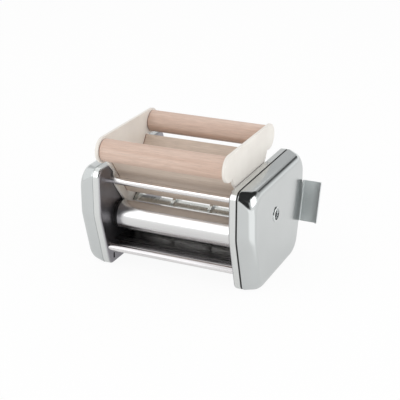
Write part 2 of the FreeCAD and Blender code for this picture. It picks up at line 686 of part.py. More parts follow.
def slide_bracket():
    """Folded bracket: a foot on the rear wall, a riser, and a lipped slide that leans with the wall."""
    riser = BRACKET_RISER_X + BRACKET_SHEET
    rise = BRACKET_STANDOFF - BRACKET_SHEET
    far = BRACKET_RISER_X + BRACKET_WIDTH - BRACKET_SHEET
    points = [(BRACKET_FOOT_X, 0), (riser, 0), (riser, rise), (far, rise)]
    points.append((far, BRACKET_STANDOFF - BRACKET_LIP))
    outer_bend = BRACKET_BEND + BRACKET_SHEET
    radii = [outer_bend, BRACKET_BEND, BRACKET_BEND]
    wire = sheet_wire(points, radii, BRACKET_SHEET, wall_place(BRACKET_START))
    bracket = Part.Face(wire).extrude(wall_direction() * BRACKET_LENGTH)
    foot_end = BRACKET_START + BRACKET_FOOT_LENGTH
    top = BRACKET_START + BRACKET_LENGTH
    waste = [(foot_end, -1), (foot_end, BRACKET_SHEET), (top, rise), (top + 1, rise), (top + 1, -1)]
    corners = [wall_place(s)(BRACKET_FOOT_X - 1, n) for s, n in waste]
    width = riser + BRACKET_BEND - BRACKET_FOOT_X + 1
    wedge = Part.Face(Part.makePolygon(corners + [corners[0]])).extrude(vector(width, 0, 0))
    return bracket.cut([wedge, rivet_shanks(RIVET_RADIUS + SCREW_CLEARANCE)])


def both_sides(pieces, name, shape):
    pieces["right_" + name] = shape
    pieces["left_" + name] = mirrored(shape)


def all_pieces():
    """Every piece by name, laid out from the middle of the cases."""
    front_phase, rear_phase, pinion_phase = gear_phases()
    pieces = {
        "right_side_plate": side_plate(True),
        "left_side_plate": mirrored(side_plate(False)),
        "right_joint_strip": joint_strip(CRANK_SIDE_SEAM),
        "left_joint_strip": mirrored(joint_strip(PLAIN_SIDE_SEAM)),
        "right_cover": cover(CRANK_SIDE_SEAM, True),
        "left_cover": mirrored(cover(PLAIN_SIDE_SEAM, False)),
    }
    for name, axis in zip(ROD_NAMES, ROD_AXES):
        pieces[name] = tie_rod(axis)
    both_sides(pieces, "rod_screws", rod_screws())
    both_sides(pieces, "front_bush", bush(FRONT_AXIS))
    both_sides(pieces, "rear_bush", bush(REAR_AXIS))
    both_sides(pieces, "slide_bracket", slide_bracket())
    both_sides(pieces, "bracket_rivets", rivets())
    pieces["exit_chute"] = chute()
    pieces["crank_bush"] = crank_bush()
    pieces["crank_collar"] = crank_collar()
    pieces["smooth_roller"] = smooth_roller()
    pieces["smooth_roller_shaft"] = roller_shaft(FRONT_AXIS)
    pieces["smooth_roller_gear"] = spur_gear(ROLLER_TEETH, FRONT_AXIS, front_phase, SHAFT_RADIUS, True)
    pieces["smooth_roller_clips"] = shaft_clips(FRONT_AXIS)
    pieces["moulding_roller"] = moulding_roller()
    pieces["moulding_roller_shaft"] = roller_shaft(REAR_AXIS)
    pieces["moulding_roller_gear"] = spur_gear(ROLLER_TEETH, REAR_AXIS, rear_phase, SHAFT_RADIUS, True)
    pieces["moulding_roller_clips"] = shaft_clips(REAR_AXIS)
    pieces["crank_shaft"] = crank_shaft()
    pieces["crank_pinion"] = spur_gear(
        PINION_TEETH, CRANK_AXIS, pinion_phase, CRANK_STUB_RADIUS, False
    )
    pieces["hopper_front_rail"] = hopper_rail(RAIL_Y[0])
    pieces["hopper_rear_rail"] = hopper_rail(RAIL_Y[1])
    pieces["hopper_front_board"] = hopper_board(-1)
    pieces["hopper_rear_board"] = hopper_board(1)
    pieces["hopper_right_panel"] = hopper_panel()
    pieces["hopper_left_panel"] = mirrored(hopper_panel())
    return pieces


def main():
    """Sets the assembly on the origin, the middle of its underside, and writes each piece."""
    os.makedirs("parts", exist_ok=True)
    pieces = all_pieces()
    box = Part.makeCompound(list(pieces.values())).optimalBoundingBox(False, False)
    move = vector(-box.Center.x, -box.Center.y, -box.ZMin)
    for name, shape in pieces.items():
        shape.translate(move)
        shape.exportStep("parts/" + name + ".step")
    print("moved by", round(move.x, 4), round(move.y, 4), round(move.z, 4))
    print("size", round(box.XLength, 2), round(box.YLength, 2), round(box.ZLength, 2))
    for name, axis in (("smooth roller", FRONT_AXIS), ("moulding roller", REAR_AXIS), ("crank", CRANK_AXIS)):
        print(name, "axis at y", round(axis[0] + move.y, 4), "z", round(axis[1] + move.z, 4))


main()
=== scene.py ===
# %% [markdown]
# # A ravioli maker, dressed for the studio
# The solids of the ravioli maker are already at their real size and place. This lesson gives each of
# them the finish that the real piece has: plated and polished steel, beech, ivory plastic and rubber.
# It also draws the two outer covers again, with rounded faces, and then lights everything softly on a
# white floor. All lengths are in metres, with +Z up, the crank side on +X and the rear on +Y.

# %% Load the solids
import json
import math
import bmesh
import bpy
from mathutils import Euler, Matrix, Vector


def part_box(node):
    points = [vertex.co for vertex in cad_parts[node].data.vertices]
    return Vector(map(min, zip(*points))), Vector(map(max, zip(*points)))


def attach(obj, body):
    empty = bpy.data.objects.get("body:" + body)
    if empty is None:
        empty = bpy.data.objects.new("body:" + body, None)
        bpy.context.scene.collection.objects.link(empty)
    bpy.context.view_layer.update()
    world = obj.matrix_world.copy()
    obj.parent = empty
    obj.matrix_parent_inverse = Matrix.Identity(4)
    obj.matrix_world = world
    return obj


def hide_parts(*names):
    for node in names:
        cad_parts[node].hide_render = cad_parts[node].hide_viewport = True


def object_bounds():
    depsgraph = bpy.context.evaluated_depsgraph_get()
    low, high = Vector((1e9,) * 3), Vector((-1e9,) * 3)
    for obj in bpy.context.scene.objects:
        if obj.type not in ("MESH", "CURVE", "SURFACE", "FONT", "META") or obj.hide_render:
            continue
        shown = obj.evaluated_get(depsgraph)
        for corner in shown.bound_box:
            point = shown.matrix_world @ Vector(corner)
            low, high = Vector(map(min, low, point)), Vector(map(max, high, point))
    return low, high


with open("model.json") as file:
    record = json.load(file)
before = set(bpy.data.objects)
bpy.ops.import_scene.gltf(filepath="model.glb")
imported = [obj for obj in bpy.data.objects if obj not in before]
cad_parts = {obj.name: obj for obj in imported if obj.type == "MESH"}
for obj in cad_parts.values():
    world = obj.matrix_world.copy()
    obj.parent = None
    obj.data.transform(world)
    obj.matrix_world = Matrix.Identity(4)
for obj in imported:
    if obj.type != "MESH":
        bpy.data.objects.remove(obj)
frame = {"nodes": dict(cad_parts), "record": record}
solid_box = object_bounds()

# %% [markdown]
# ## Small helpers
# A colour is easiest to read off as a hex value, as in a paint program, but light adds up in linear
# numbers. One function turns the first into the second, by the curve that screens use: a straight
# start, then a power.

# %% Colours in linear light
def linear(hex_colour):
    parts = [int(hex_colour[i:i + 2], 16) / 255 for i in (1, 3, 5)]
    bent = [p / 12.92 if p <= 0.04045 else ((p + 0.055) / 1.055) ** 2.4 for p in parts]
    return (*bent, 1.0)


WHITE = linear("#ffffff")
print("mid grey in linear light:", round(linear("#808080")[0], 3))

# %% [markdown]
# A material is a small graph. One function adds a node to it, sets its fields and joins its sockets,
# so that each finish further down reads as a short recipe. A second one starts a finish: an empty
# graph with only the surface shader in it. Each finished material is kept under the name of the slot
# that the record of the part gives to its solids.

# %% One node, and a new finish
def add(tree, kind, sockets=None, **fields):
    made = tree.nodes.new(kind)
    for field, value in fields.items():
        setattr(made, field, value)
    for socket, value in (sockets or {}).items():
        if isinstance(value, bpy.types.NodeSocket):
            tree.links.new(value, made.inputs[socket])
        else:
            made.inputs[socket].default_value = value
    return made


def finish_named(name, **sockets):
    made = bpy.data.materials.new(name)
    made.use_nodes = True
    tree = made.node_tree
    tree.nodes.clear()
    surface = add(tree, "ShaderNodeBsdfPrincipled",
                  {key.replace("_", " "): value for key, value in sockets.items()})
    add(tree, "ShaderNodeOutputMaterial", {"Surface": surface.outputs[0]})
    return made, tree, surface


# %% Finishes by slot
finishes = {}


def keep(slot, material):
    finishes[slot] = material
    print(slot, "is", material.name, "with", len(material.node_tree.nodes), "nodes")


# %% [markdown]
# Every pattern is laid out in the space of the solid, in real millimetres. `pattern_space` stretches
# that space so that one unit of the pattern is as long as the real grain, line or ripple is.
# A noise texture gives numbers from 0 to 1, but nearly all of them lie close to the middle. NOISE
# names that middle stretch, from which a number is spread over the wanted range. CELLS does the same
# for the distances inside a texture of cells.

# %% Pattern space in real millimetres
MM_PER_METRE = 1000
NOISE = {"From Min": 0.35, "From Max": 0.65}
CELLS = {"From Min": 0.0, "From Max": 0.7}
CLOUD_MM = (30, 30, 30)


def pattern_space(tree, size_mm):
    place = add(tree, "ShaderNodeTexCoord")
    scale = [MM_PER_METRE / size for size in size_mm]
    return add(tree, "ShaderNodeMapping",
               {"Vector": place.outputs["Object"], "Scale": scale}).outputs[0]


print("clouds in a metre of sheet:", round(MM_PER_METRE / CLOUD_MM[0], 1))

# %% [markdown]
# ## Plated side plates
# Each side plate is deep drawn from steel sheet and nickel plated. Its rim is polished, and mirrors
# the floor as a soft light grey. The flat inner face is rougher and blurs what it mirrors. Its colour
# is darker too: painted shade, for the dark inside of the machine that the face mirrors. Rim and face
# are one sheet, so one material blends between the two across the 2 mm bend, which it finds by the
# distance from the middle of the machine.

# %% Distance from the middle of the machine, 0 before one place and 1 after another
def along_x(tree, start_mm, end_mm):
    place = add(tree, "ShaderNodeTexCoord")
    parts = add(tree, "ShaderNodeSeparateXYZ", {0: place.outputs["Object"]})
    distance = add(tree, "ShaderNodeMath", {0: parts.outputs["X"]}, operation="ABSOLUTE")
    return add(tree, "ShaderNodeMapRange", {"Value": distance.outputs[0],
                                            "From Min": start_mm / MM_PER_METRE,
                                            "From Max": end_mm / MM_PER_METRE}).outputs[0]


plate_face_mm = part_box("right_side_plate")[0].x * MM_PER_METRE
print("inner faces of the side plates are", round(plate_face_mm, 2), "mm from the middle")

# %% Nickel-plated plate with a polished rim
BEND_START_MM = 0.2
BEND_END_MM = 2.0
FACE_ROUGHNESS = 0.36
RIM_ROUGHNESS = 0.2
CLOUDY_ROUGHNESS = 0.03


def nickel_plated_plate():
    made, tree, surface = finish_named("nickel_plated_plate", Metallic=1.0)
    rim = along_x(tree, plate_face_mm + BEND_START_MM, plate_face_mm + BEND_END_MM)
    cloud = add(tree, "ShaderNodeTexNoise", {"Vector": pattern_space(tree, CLOUD_MM),
                                             "Scale": 1.0, "Detail": 3.0})
    share = add(tree, "ShaderNodeMapRange", {**NOISE, "Value": cloud.outputs[0]})
    # painted shade: the inner face is darker than the polished rim, for the dark inside of the
    # machine that it mirrors
    painted_shade_face = add(tree, "ShaderNodeMix", {"Factor": share.outputs[0],
                                          "A": linear("#949297"), "B": linear("#9d9ba0")},
                  data_type="RGBA")
    tone = add(tree, "ShaderNodeMix", {"Factor": rim, "A": painted_shade_face.outputs["Result"],
                                       "B": linear("#dadcdb")}, data_type="RGBA")
    tree.links.new(tone.outputs["Result"], surface.inputs["Base Color"])
    haze = add(tree, "ShaderNodeMapRange", {**NOISE, "Value": cloud.outputs[0],
                                            "To Min": 0.0, "To Max": CLOUDY_ROUGHNESS})
    rough = add(tree, "ShaderNodeMapRange", {"Value": rim, "To Min": FACE_ROUGHNESS,
                                             "To Max": RIM_ROUGHNESS})
    both = add(tree, "ShaderNodeMath", {0: rough.outputs[0], 1: haze.outputs[0]},
               operation="ADD")
    tree.links.new(both.outputs[0], surface.inputs["Roughness"])
    return made


keep("case_chrome", nickel_plated_plate())

# %% [markdown]
# ## Satin plating
# The outer covers are drawn from the same sheet, but their chrome is a little milky: reflections are
# soft patches of light, not pictures. A low roughness that wanders only very little gives that,
# because the real skin is even. The slide brackets have a duller nickel skin, with a higher
# roughness: they only shade from dark to light, and mirror nothing that one could name.

# %% Satin chrome or nickel
HAZE_MM = (50, 50, 70)


def satin_plating(name, colour, smoothest, roughest):
    made, tree, surface = finish_named(name, Metallic=1.0)
    haze = add(tree, "ShaderNodeTexNoise", {"Vector": pattern_space(tree, HAZE_MM),
                                            "Scale": 1.0, "Detail": 2.0})
    value = add(tree, "ShaderNodeMapRange", {**NOISE, "Value": haze.outputs[0],
                                             "To Min": 0.98, "To Max": 1.02})
    shade = add(tree, "ShaderNodeHueSaturation", {"Color": linear(colour),
                                                  "Value": value.outputs[0]})
    tree.links.new(shade.outputs[0], surface.inputs["Base Color"])
    rough = add(tree, "ShaderNodeMapRange", {**NOISE, "Value": haze.outputs[0],
                                             "To Min": smoothest, "To Max": roughest})
    tree.links.new(rough.outputs[0], surface.inputs["Roughness"])
    return made


keep("cover_chrome", satin_plating("satin_chrome_cover", "#c9cccc", 0.13, 0.16))
keep("collar", satin_plating("satin_chrome_collar", "#dfe2e2", 0.2, 0.24))
keep("bracket", satin_plating("satin_nickel_bracket", "#e3e7e7", 0.32, 0.36))

# %% [markdown]
# ## Polished bright steel
# Tie rods, the smooth roller and the round shafts are turned and then polished while they spin, so
# the finest lines run round them. Lines round the X axis are the same at every angle: the pattern
# only changes along X. The gears are cut from darker steel, with deeper lines. The lines are drawn
# 0.5 to 1.2 mm wide, coarser than the real ones, so that they show.

# %% Polished turned steel
LINE_LENGTH_MM = 400
LINE_HEIGHT = 0.0002


def turned_steel(name, colour, smoothest, roughest, line_mm, depth):
    made, tree, surface = finish_named(name, Metallic=1.0, Base_Color=linear(colour))
    size_mm = (line_mm, LINE_LENGTH_MM, LINE_LENGTH_MM)
    lines = add(tree, "ShaderNodeTexNoise", {"Vector": pattern_space(tree, size_mm),
                                             "Scale": 1.0, "Detail": 3.0})
    rough = add(tree, "ShaderNodeMapRange", {**NOISE, "Value": lines.outputs[0],
                                             "To Min": smoothest, "To Max": roughest})
    tree.links.new(rough.outputs[0], surface.inputs["Roughness"])
    bump = add(tree, "ShaderNodeBump", {"Height": lines.outputs[0], "Strength": depth,
                                        "Distance": LINE_HEIGHT})
    tree.links.new(bump.outputs[0], surface.inputs["Normal"])
    return made


keep("rod", turned_steel("polished_steel_rod", "#e6e4e4", 0.20, 0.25, 1.2, 0.02))
keep("smooth_roller", turned_steel("ground_steel_roller", "#dcdcdc", 0.19, 0.25, 0.9, 0.02))
keep("shaft", turned_steel("turned_steel_shaft", "#e2e4e5", 0.3, 0.4, 0.6, 0.05))
keep("gear", turned_steel("cut_steel_gear", "#9a9da1", 0.28, 0.4, 0.5, 0.06))

# %% [markdown]
# ## Steel with a zinc skin
# Screws, rivets and clips are zinc plated: a grey, slightly cloudy skin with small crystals.
# The crystals are drawn 1.2 mm wide, coarser than the real ones, so that they show.

# %% Zinc-plated steel
CRYSTAL_MM = (1.2, 1.2, 1.2)


def zinc_plated_steel():
    made, tree, surface = finish_named("zinc_plated_fastener", Metallic=1.0)
    crystals = add(tree, "ShaderNodeTexVoronoi", {"Vector": pattern_space(tree, CRYSTAL_MM),
                                                  "Scale": 1.0})
    value = add(tree, "ShaderNodeMapRange", {**CELLS, "Value": crystals.outputs["Distance"],
                                             "To Min": 0.985, "To Max": 1.01})
    shade = add(tree, "ShaderNodeHueSaturation", {"Color": linear("#b9bcbf"),
                                                  "Value": value.outputs[0]})
    tree.links.new(shade.outputs[0], surface.inputs["Base Color"])
    rough = add(tree, "ShaderNodeMapRange", {**CELLS, "Value": crystals.outputs["Distance"],
                                             "To Min": 0.25, "To Max": 0.28})
    tree.links.new(rough.outputs[0], surface.inputs["Roughness"])
    return made


keep("fastener", zinc_plated_steel())

# %% [markdown]
# ## Rolled stainless chute
# The chute is a bent sheet of rolled stainless steel. The mill leaves fine lines along the sheet,
# which here run across the machine, so the pattern is long along X and narrow down the slope. It
# mirrors the dark underside of the rollers as brownish grey streaks. The streaks are drawn 1.6 mm
# wide, coarser than the real ones, so that they show.

# %% Rolled stainless sheet
STREAK_MM = (90, 1.6, 1.6)
STREAK_HEIGHT = 0.0003


def rolled_stainless_chute():
    made, tree, surface = finish_named("rolled_stainless_chute", Metallic=1.0)
    streak = add(tree, "ShaderNodeTexNoise", {"Vector": pattern_space(tree, STREAK_MM),
                                              "Scale": 1.0, "Detail": 3.0})
    share = add(tree, "ShaderNodeMapRange", {**NOISE, "Value": streak.outputs[0]})
    tone = add(tree, "ShaderNodeMix", {"Factor": share.outputs[0],
                                       "A": linear("#a5a2a3"), "B": linear("#d0cecf")},
               data_type="RGBA")
    tree.links.new(tone.outputs["Result"], surface.inputs["Base Color"])
    rough = add(tree, "ShaderNodeMapRange", {**NOISE, "Value": streak.outputs[0],
                                             "To Min": 0.18, "To Max": 0.3})
    tree.links.new(rough.outputs[0], surface.inputs["Roughness"])
    bump = add(tree, "ShaderNodeBump", {"Height": streak.outputs[0], "Strength": 0.25,
                                        "Distance": STREAK_HEIGHT})
    tree.links.new(bump.outputs[0], surface.inputs["Normal"])
    return made


keep("chute", rolled_stainless_chute())

# %% [markdown]
# ## Machined aluminium of the moulding roller
# The moulding roller is milled from aluminium bar: pale, soft-looking metal with tool marks round it.
# The marks are drawn 0.7 mm wide, coarser than the real ones, so that they show.

# %% Milled aluminium
TOOL_MARK_MM = (0.7, 12, 12)
TOOL_MARK_HEIGHT = 0.0002


def milled_aluminium():
    made, tree, surface = finish_named("milled_aluminium", Metallic=1.0,
                                       Base_Color=linear("#d8dad6"))
    marks = add(tree, "ShaderNodeTexNoise", {"Vector": pattern_space(tree, TOOL_MARK_MM),
                                             "Scale": 1.0, "Detail": 2.0})
    rough = add(tree, "ShaderNodeMapRange", {**NOISE, "Value": marks.outputs[0],
                                             "To Min": 0.26, "To Max": 0.38})
    tree.links.new(rough.outputs[0], surface.inputs["Roughness"])
    bump = add(tree, "ShaderNodeBump", {"Height": marks.outputs[0], "Strength": 0.1,
                                        "Distance": TOOL_MARK_HEIGHT})
    tree.links.new(bump.outputs[0], surface.inputs["Normal"])
    return made


keep("moulding_roller", milled_aluminium())

# %% [markdown]
# ## Beech
# Rails and boards are bare, sanded beech: pale and a little pink, with broad soft bands from the
# year rings and short dark flecks that lie along the grain. The grain runs along X. Colour is laid in
# three coats, as light passes through the wood: bands first, then fine fibres, then the flecks.
# The fibres are drawn 0.7 mm wide, coarser than the real ones, so that they show. The turned edge at
# each end of a rail gets a thin darker line: painted shade of the narrow gap between the rail and the
# end panel.

# %% Patterns in the wood, and the painted shade at the rail ends
YEAR_RING_MM = (140, 6, 6)
YEAR_RINGS = {"From Min": 0.3, "From Max": 0.7}
FIBRE_MM = (12, 0.7, 0.7)
FIBRE_HEIGHT = 0.0002
FLECK_MM = (5, 1.1, 1.1)
FLECKS = {"From Min": 0.02, "From Max": 0.2}
RAIL_END_SHADE_START_MM = 1.1
RAIL_END_SHADE_FULL_MM = 0.6
rail_end_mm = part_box("hopper_front_rail")[1].x * MM_PER_METRE
print("ends of the rails are", round(rail_end_mm, 2), "mm from the middle")

# %% Colour of beech, with a painted shade line at each rail end
def beech_colour(tree, light, dark, fibre):
    bands = add(tree, "ShaderNodeTexNoise", {"Vector": pattern_space(tree, YEAR_RING_MM),
                                             "Scale": 1.0, "Detail": 5.0, "Roughness": 0.6})
    band_share = add(tree, "ShaderNodeMapRange", {**YEAR_RINGS, "Value": bands.outputs[0]})
    ground = add(tree, "ShaderNodeMix", {"Factor": band_share.outputs[0],
                                         "A": linear(light), "B": linear(dark)},
                 data_type="RGBA")
    fibre_value = add(tree, "ShaderNodeMapRange", {**NOISE, "Value": fibre.outputs[0],
                                                   "To Min": 0.92, "To Max": 1.06})
    fibres = add(tree, "ShaderNodeHueSaturation", {"Color": ground.outputs["Result"],
                                                   "Value": fibre_value.outputs[0]})
    fleck = add(tree, "ShaderNodeTexVoronoi", {"Vector": pattern_space(tree, FLECK_MM),
                                               "Scale": 1.0, "Randomness": 1.0})
    fleck_value = add(tree, "ShaderNodeMapRange", {**FLECKS, "Value": fleck.outputs["Distance"],
                                                   "To Min": 0.84, "To Max": 1.0})
    flecks = add(tree, "ShaderNodeHueSaturation", {"Color": fibres.outputs[0],
                                                   "Value": fleck_value.outputs[0]})
    # painted shade: a thin darker line at each end of a rail, in the narrow gap where it meets the
    # end panel
    painted_rail_end_shade = along_x(tree, rail_end_mm - RAIL_END_SHADE_START_MM, rail_end_mm - RAIL_END_SHADE_FULL_MM)
    ends = add(tree, "ShaderNodeMix", {"Factor": painted_rail_end_shade, "A": flecks.outputs[0],
                                       "B": linear("#8a6354")}, data_type="RGBA")
    return ends.outputs["Result"]


fleck_length_mm = 2 * FLECKS["From Max"] * FLECK_MM[0]
print("flecks are about", fleck_length_mm, "mm long and fibres", FIBRE_MM[1], "mm wide")

# %% Sanded beech
def sanded_beech(name, light, dark):
    made, tree, surface = finish_named(name, Roughness=0.55, Specular_IOR_Level=0.35)
    fibre = add(tree, "ShaderNodeTexNoise", {"Vector": pattern_space(tree, FIBRE_MM),
                                             "Scale": 1.0, "Detail": 2.0})
    tree.links.new(beech_colour(tree, light, dark, fibre), surface.inputs["Base Color"])
    bump = add(tree, "ShaderNodeBump", {"Height": fibre.outputs[0], "Strength": 0.15,
                                        "Distance": FIBRE_HEIGHT})
    tree.links.new(bump.outputs[0], surface.inputs["Normal"])
    return made


keep("wood", sanded_beech("sanded_beech_rail", "#dcc5b7", "#cbae9d"))
keep("board", sanded_beech("sanded_beech_board", "#ddcec1", "#cdbbab"))

# %% [markdown]
# ## Ivory plastic of the end panels
# The end panels are moulded in ivory ABS with a fine matt grain from the tool. The grain is drawn
# 0.6 mm wide, coarser than the real one, so that it shows.

# %% Moulded ivory plastic
TOOL_GRAIN_MM = (0.6, 0.6, 0.6)
TOOL_GRAIN_HEIGHT = 0.0002
TINT_MM = (30, 30, 30)


def moulded_ivory_abs():
    made, tree, surface = finish_named("moulded_ivory_abs")
    tint = add(tree, "ShaderNodeTexNoise", {"Vector": pattern_space(tree, TINT_MM),
                                            "Scale": 1.0, "Detail": 2.0})
    share = add(tree, "ShaderNodeMapRange", {**NOISE, "Value": tint.outputs[0]})
    tone = add(tree, "ShaderNodeMix", {"Factor": share.outputs[0],
                                       "A": linear("#efebe4"), "B": linear("#e9e4dd")},
               data_type="RGBA")
    tree.links.new(tone.outputs["Result"], surface.inputs["Base Color"])
    grain = add(tree, "ShaderNodeTexNoise", {"Vector": pattern_space(tree, TOOL_GRAIN_MM),
                                             "Scale": 1.0, "Detail": 2.0})
    rough = add(tree, "ShaderNodeMapRange", {**NOISE, "Value": grain.outputs[0],
                                             "To Min": 0.38, "To Max": 0.5})
    tree.links.new(rough.outputs[0], surface.inputs["Roughness"])
    bump = add(tree, "ShaderNodeBump", {"Height": grain.outputs[0], "Strength": 0.08,
                                        "Distance": TOOL_GRAIN_HEIGHT})
    tree.links.new(bump.outputs[0], surface.inputs["Normal"])
    return made


keep("panel", moulded_ivory_abs())

# %% [markdown]
# ## Rubber and black nylon
# The joint strip is matt black rubber, and the bushes are black nylon, which shines a little more.
# The grain of both is drawn 1 mm wide, coarser than the real one, so that it shows.

# %% Black rubber and nylon
MOULDING_GRAIN_MM = (1.0, 1.0, 1.0)


def dark_moulding(name, colour, smoothest, roughest):
    made, tree, surface = finish_named(name)
    grain = add(tree, "ShaderNodeTexNoise", {"Vector": pattern_space(tree, MOULDING_GRAIN_MM),
                                             "Scale": 1.0, "Detail": 3.0})
    value = add(tree, "ShaderNodeMapRange", {**NOISE, "Value": grain.outputs[0],
                                             "To Min": 0.8, "To Max": 1.2})
    shade = add(tree, "ShaderNodeHueSaturation", {"Color": linear(colour),
                                                  "Value": value.outputs[0]})
    tree.links.new(shade.outputs[0], surface.inputs["Base Color"])
    rough = add(tree, "ShaderNodeMapRange", {**NOISE, "Value": grain.outputs[0],
                                             "To Min": smoothest, "To Max": roughest})
    tree.links.new(rough.outputs[0], surface.inputs["Roughness"])
    return made


keep("joint_strip", dark_moulding("black_rubber_strip", "#101010", 0.5, 0.65))
keep("bush", dark_moulding("black_nylon_bush", "#141414", 0.35, 0.45))

# %% [markdown]
# ## Deep drawn covers
# Each outer cover is drawn from one steel sheet. At its open edge it has the outline of the pressed
# side plate. Towards its outer face the sheet draws in a little, and the corners grow much rounder,
# because a sheet can't follow a sharp corner that deep. The plain solids of the covers are straight
# all the way, so the covers are made again here, inside those solids.
#
# The outline of a case is a foot, two slopes that widen up to a bend, and an upright box above it.
# Its corner radii are listed in the order of its corners: front foot, rear foot, rear bend, top rear,
# top front and front bend.

# %% Case outline, drawn in and rounded
FOOT_DEPTH = 0.122
BEND_HEIGHT = 0.066
SEAM_RADII = (0.010, 0.010, 0.030, 0.010, 0.010, 0.030)
FACE_RADII = (0.024, 0.024, 0.040, 0.023, 0.023, 0.040)
ARC_STEPS = 10


def outline(depth, height, inset, radii):
    """Rounded (y, z) outline of a case round Y = 0, counter-clockwise from the front foot."""
    foot, half = FOOT_DEPTH / 2, depth / 2
    corners = [(-foot, 0), (foot, 0), (half, BEND_HEIGHT), (half, height)]
    corners = [Vector(c) for c in corners + [(-half, height), (-half, BEND_HEIGHT)]]
    points = []
    for i, corner in enumerate(corners):
        before = (corner - corners[i - 1]).normalized()
        after = (corners[(i + 1) % len(corners)] - corner).normalized()
        inward = [Vector((-side.y, side.x)) for side in (before, after)]
        share = 1 + inward[0].dot(inward[1])
        radius = radii[i] - inset
        centre = corner + (inward[0] + inward[1]) * (radii[i] / share)
        turn = before.angle(after)
        for step in range(ARC_STEPS + 1):
            rotation = Matrix.Rotation(turn * step / ARC_STEPS, 2)
            points.append(centre - rotation @ (inward[0] * radius))
    return points


cover_low, cover_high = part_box("right_cover")
cover_size = cover_high - cover_low
print("points in an outline:", len(outline(cover_size.y, cover_size.z, 0.0, SEAM_RADII)))

# %% [markdown]
# A cover is a stack of rings. Every ring is the case outline, drawn in by some inset and with rounded
# corners. Near the seam the wall runs straight, then the outline changes evenly into that of the
# face, which also lies a little further back and lower, and the last rings turn round the edge.

# %% Rings of a cover, from face to seam
SHEET = 0.001
EDGE_RADIUS = 0.008
DRAW_IN = 0.00125
FACE_BACK = 0.00095
FACE_DOWN = 0.00125
STRAIGHT_RIM = 0.0015
EDGE_STEPS = 10


def cover_ring(size, seam_x, face_x, x, inset):
    """One ring: the seam outline blended with the face outline, at this X."""
    start = seam_x + STRAIGHT_RIM
    share = max(0.0, (x - start) / (face_x - start))
    at_seam = outline(size.y, size.z, inset, SEAM_RADII)
    at_face = outline(size.y, size.z, inset + DRAW_IN, [r + DRAW_IN for r in FACE_RADII])
    shift = Vector((FACE_BACK, -FACE_DOWN))
    return [(x, *a.lerp(b + shift, share)) for a, b in zip(at_seam, at_face)]


def cover_rings(size, seam_x, face_x, layer):
    """Rings of the outer skin (layer 0) or the inner skin (layer one sheet), face first."""
    rings = []
    for step in range(EDGE_STEPS, -1, -1):
        angle = math.pi / 2 * step / EDGE_STEPS
        bend = EDGE_RADIUS - layer
        x = face_x - EDGE_RADIUS + bend * math.sin(angle)
        rings.append(cover_ring(size, seam_x, face_x, x, layer + bend * (1 - math.cos(angle))))
    for x in (seam_x + STRAIGHT_RIM, seam_x):
        rings.append(cover_ring(size, seam_x, face_x, x, layer))
    return rings


print("rings in a skin:", len(cover_rings(cover_size, cover_low.x, cover_high.x, 0.0)))

# %% [markdown]
# Rings with the same number of points are easily joined by a skin: from the hole for the crank
# collar outwards over the face, round the edge, down to the seam and back again inside. The plain
# side has no hole, so there the middle ring has no radius and its points are welded into one. The
# large flat face leads the shading, so that the light doesn't bend on it near the edge.

# %% Faces between the rings
def middle_ring(x, centre, radius, ring):
    """A circle with one point for each point of a ring, seen from the circle's centre."""
    arms = [(Vector(point[1:]) - centre).normalized() * radius for point in ring]
    return [(x, *(centre + arm)) for arm in arms]


def ring_faces(rings, joined):
    """Faces between neighbouring rings, and between the last and the first where joined."""
    count = len(rings[0])
    faces = []
    for ring in range(len(rings) if joined else len(rings) - 1):
        here = ring * count
        there = (ring + 1) % len(rings) * count
        for point in range(count):
            beside = (point + 1) % count
            faces.append((here + point, here + beside, there + beside, there + point))
    return faces


outer_rings = cover_rings(cover_size, cover_low.x, cover_high.x, 0.0)
print("faces between the rings of one skin:", len(ring_faces(outer_rings, False)))

# %% Skin over the rings
WELD_DISTANCE = 1e-7
SHARP_ANGLE = math.radians(40)
print("edges sharper than", round(math.degrees(SHARP_ANGLE)), "degrees stay sharp")


def skin(name, points, faces):
    mesh = bpy.data.meshes.new(name)
    mesh.from_pydata(points, [], faces)
    made = bmesh.new()
    made.from_mesh(mesh)
    bmesh.ops.remove_doubles(made, verts=made.verts, dist=WELD_DISTANCE)
    bmesh.ops.recalc_face_normals(made, faces=made.faces)
    made.to_mesh(mesh)
    made.free()
    mesh.shade_smooth()
    mesh.set_sharp_from_angle(angle=SHARP_ANGLE)
    piece = bpy.data.objects.new(name, mesh)
    bpy.context.scene.collection.objects.link(piece)
    piece.modifiers.new("flat_faces_lead", "WEIGHTED_NORMAL").keep_sharp = True
    print(name, "has", len(mesh.vertices), "points and", len(mesh.polygons), "faces")
    return piece


# %% [markdown]
# The rings are made for a cover that faces +X and stands round Y = 0. For the left case they are
# mirrored, and both covers are then moved to the place of the plain solid that they stand for.

# %% Both covers, on the places of their plain solids
COLLAR_BOSS_RADIUS = 0.0074
HOLE_MARGIN = 0.0001


def drawn_cover(node, side, hole):
    low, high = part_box(node)
    size = high - low
    middle = Vector((0, (low.y + high.y) / 2, low.z))
    seam_x, face_x = (low.x, high.x) if side > 0 else (-high.x, -low.x)
    outer = cover_rings(size, seam_x, face_x, 0.0)
    inner = cover_rings(size, seam_x, face_x, SHEET)
    collar_low, collar_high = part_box("crank_collar")
    collar = (collar_low + collar_high) / 2
    centre = Vector((collar.y - middle.y, collar.z - middle.z))
    rings = [middle_ring(face_x, centre, hole, outer[0])] + outer
    rings += inner[::-1] + [middle_ring(face_x - SHEET, centre, hole, inner[0])]
    points = [Vector((side * x, y, z)) + middle for ring in rings for x, y, z in ring]
    piece = skin("drawn_" + node, points, ring_faces(rings, hole > 0))
    piece.data.materials.append(finishes["cover_chrome"])
    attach(piece, "case")
    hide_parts(node)


drawn_cover("right_cover", 1, COLLAR_BOSS_RADIUS + HOLE_MARGIN)
drawn_cover("left_cover", -1, 0.0)

# %% [markdown]
# ## Which finish goes where
# The record of the part gives each solid a material slot, and the slot names the finish. Two places
# differ. The boards are paler beech than the rails. On the plain side no dark line shows at the joint
# of the case, so its strip has the finish of the covers.

